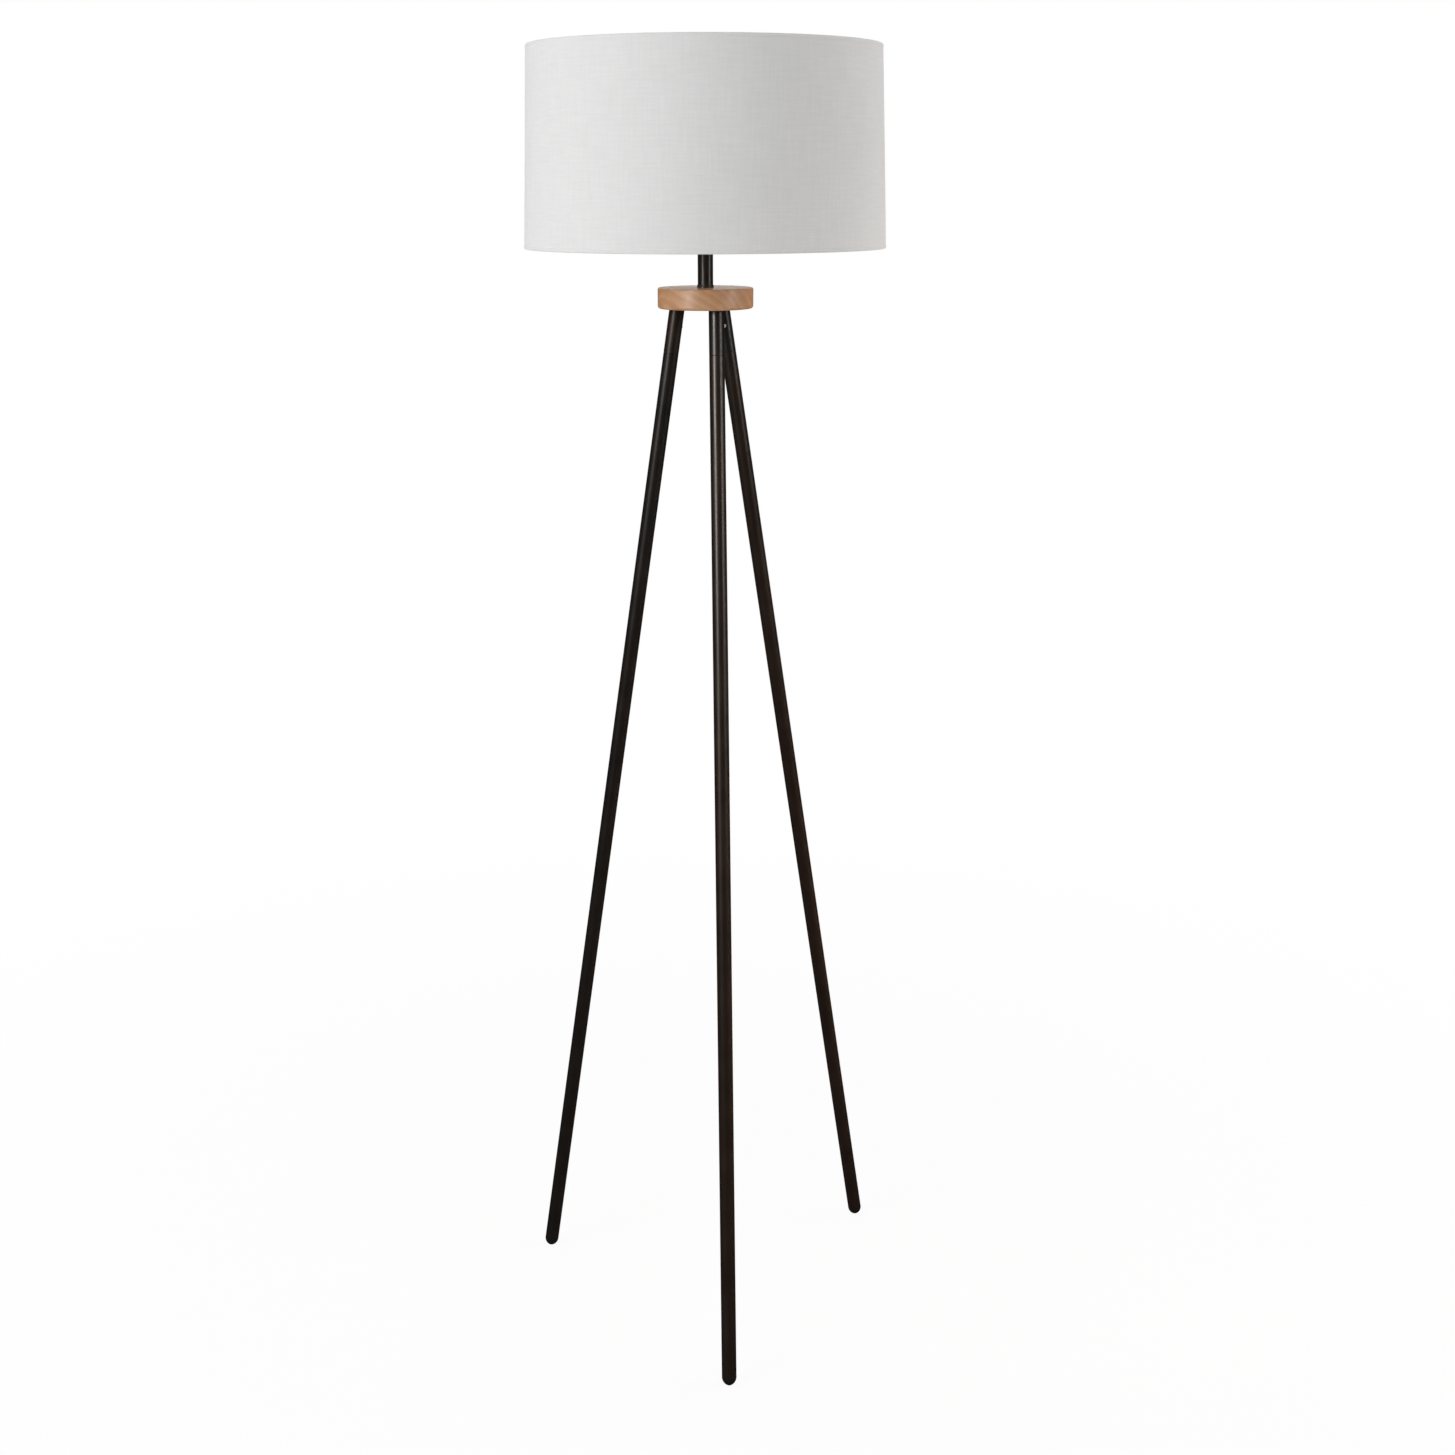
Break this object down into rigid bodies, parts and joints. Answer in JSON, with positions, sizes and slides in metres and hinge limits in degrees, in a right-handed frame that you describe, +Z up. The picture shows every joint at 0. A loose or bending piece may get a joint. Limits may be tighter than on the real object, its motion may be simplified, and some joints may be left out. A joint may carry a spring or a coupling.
{
  "type": "tripod floor lamp",
  "caption": "Tripod floor lamp with splayed dark tube legs, a wooden hub disc, a short pole and an off-white linen drum shade.",
  "frame": {"origin": "the point on the floor under the pole's axis, in the plane that the three foot tips rest on", "axes": "+Z up along the pole; one leg comes forward, close to -Y, and +X is to the right seen from the front"},
  "size_m": [0.4199, 0.441, 1.4849],
  "materials": {
    "wood": "clear satin lacquer over light walnut-toned wood",
    "leg_bronze": "satin dark bronze powder coat",
    "black_metal": "satin black paint",
    "black_plastic": "fine-grained moulded plastic",
    "steel": "zinc plated",
    "brass": "plain machined",
    "bright_steel": "nickel plated",
    "linen": "off-white slubbed linen",
    "liner": "white styrene backing",
    "white_metal": "white enamel",
    "phenolic": "moulded phenolic",
    "paper": "pressed insulating paper",
    "aluminium": "drawn",
    "glass": "inside frosted, white"
  },
  "bodies": {
    "stand": {"cap_screw": "steel", "centre_contact": "brass", "cord_bushing": "black_plastic", "foot_tip_front": "black_plastic", "foot_tip_left": "black_plastic", "foot_tip_right": "black_plastic", "harp_bow": "bright_steel", "harp_saddle": "bright_steel", "harp_stud": "bright_steel", "holder_body": "phenolic", "holder_cap": "brass", "holder_paper": "paper", "holder_shell": "brass", "hub_lock_washer": "steel", "hub_nut": "steel", "hub_plate": "black_metal", "hub_washer": "steel", "leg_connector_front": "steel", "leg_connector_left": "steel", "leg_connector_right": "steel", "leg_insert_front": "steel", "leg_insert_left": "steel", "leg_insert_right": "steel", "leg_set_screws": "bright_steel", "leg_stub_front": "black_metal", "leg_stub_left": "black_metal", "leg_stub_right": "black_metal", "leg_tube_front": "leg_bronze", "leg_tube_left": "leg_bronze", "leg_tube_right": "leg_bronze", "plate_screws": "steel", "pole_cap": "black_metal", "pole_tube": "black_metal", "saddle_nut": "steel", "screw_shell": "brass", "seat_ring": "black_metal", "terminal_screws": "brass", "threaded_pipe": "steel", "wood_disc": "wood"},
    "shade": {"shade_bottom_ring": "white_metal", "shade_fabric": "linen", "shade_liner": "liner", "shade_top_ring": "white_metal", "spider_arm_1": "white_metal", "spider_arm_2": "white_metal", "spider_arm_3": "white_metal", "spider_hub": "white_metal"},
    "finial": {"finial": "bright_steel"},
    "sleeve_left": {"harp_sleeve_left": "bright_steel"},
    "sleeve_right": {"harp_sleeve_right": "bright_steel"},
    "switch": {"switch_knob": "black_plastic", "switch_shaft": "steel"},
    "bulb": {"bulb_base": "aluminium", "bulb_contact": "brass", "bulb_globe": "glass", "bulb_insulator": "phenolic"}
  },
  "joints": [
    {"name": "shade_turn", "type": "hinge", "parent": "stand", "child": "shade", "pos_m": [0, 0, 1.4586], "axis": [0, 0, 1], "continuous": true},
    {"name": "finial_turn", "type": "hinge", "parent": "stand", "child": "finial", "pos_m": [0, 0, 1.461], "axis": [0, 0, 1], "continuous": true},
    {"name": "sleeve_left_lift", "type": "slide", "parent": "stand", "child": "sleeve_left", "axis": [0, 0, 1], "range_m": [0, 0.013]},
    {"name": "sleeve_right_lift", "type": "slide", "parent": "stand", "child": "sleeve_right", "axis": [0, 0, 1], "range_m": [0, 0.013]},
    {"name": "switch_turn", "type": "hinge", "parent": "stand", "child": "switch", "pos_m": [0, -0.015, 1.31615], "axis": [0, -1, 0], "continuous": true},
    {"name": "bulb_turn", "type": "hinge", "parent": "stand", "child": "bulb", "pos_m": [0, 0, 1.34], "axis": [0, 0, 1], "continuous": true}
  ]
}
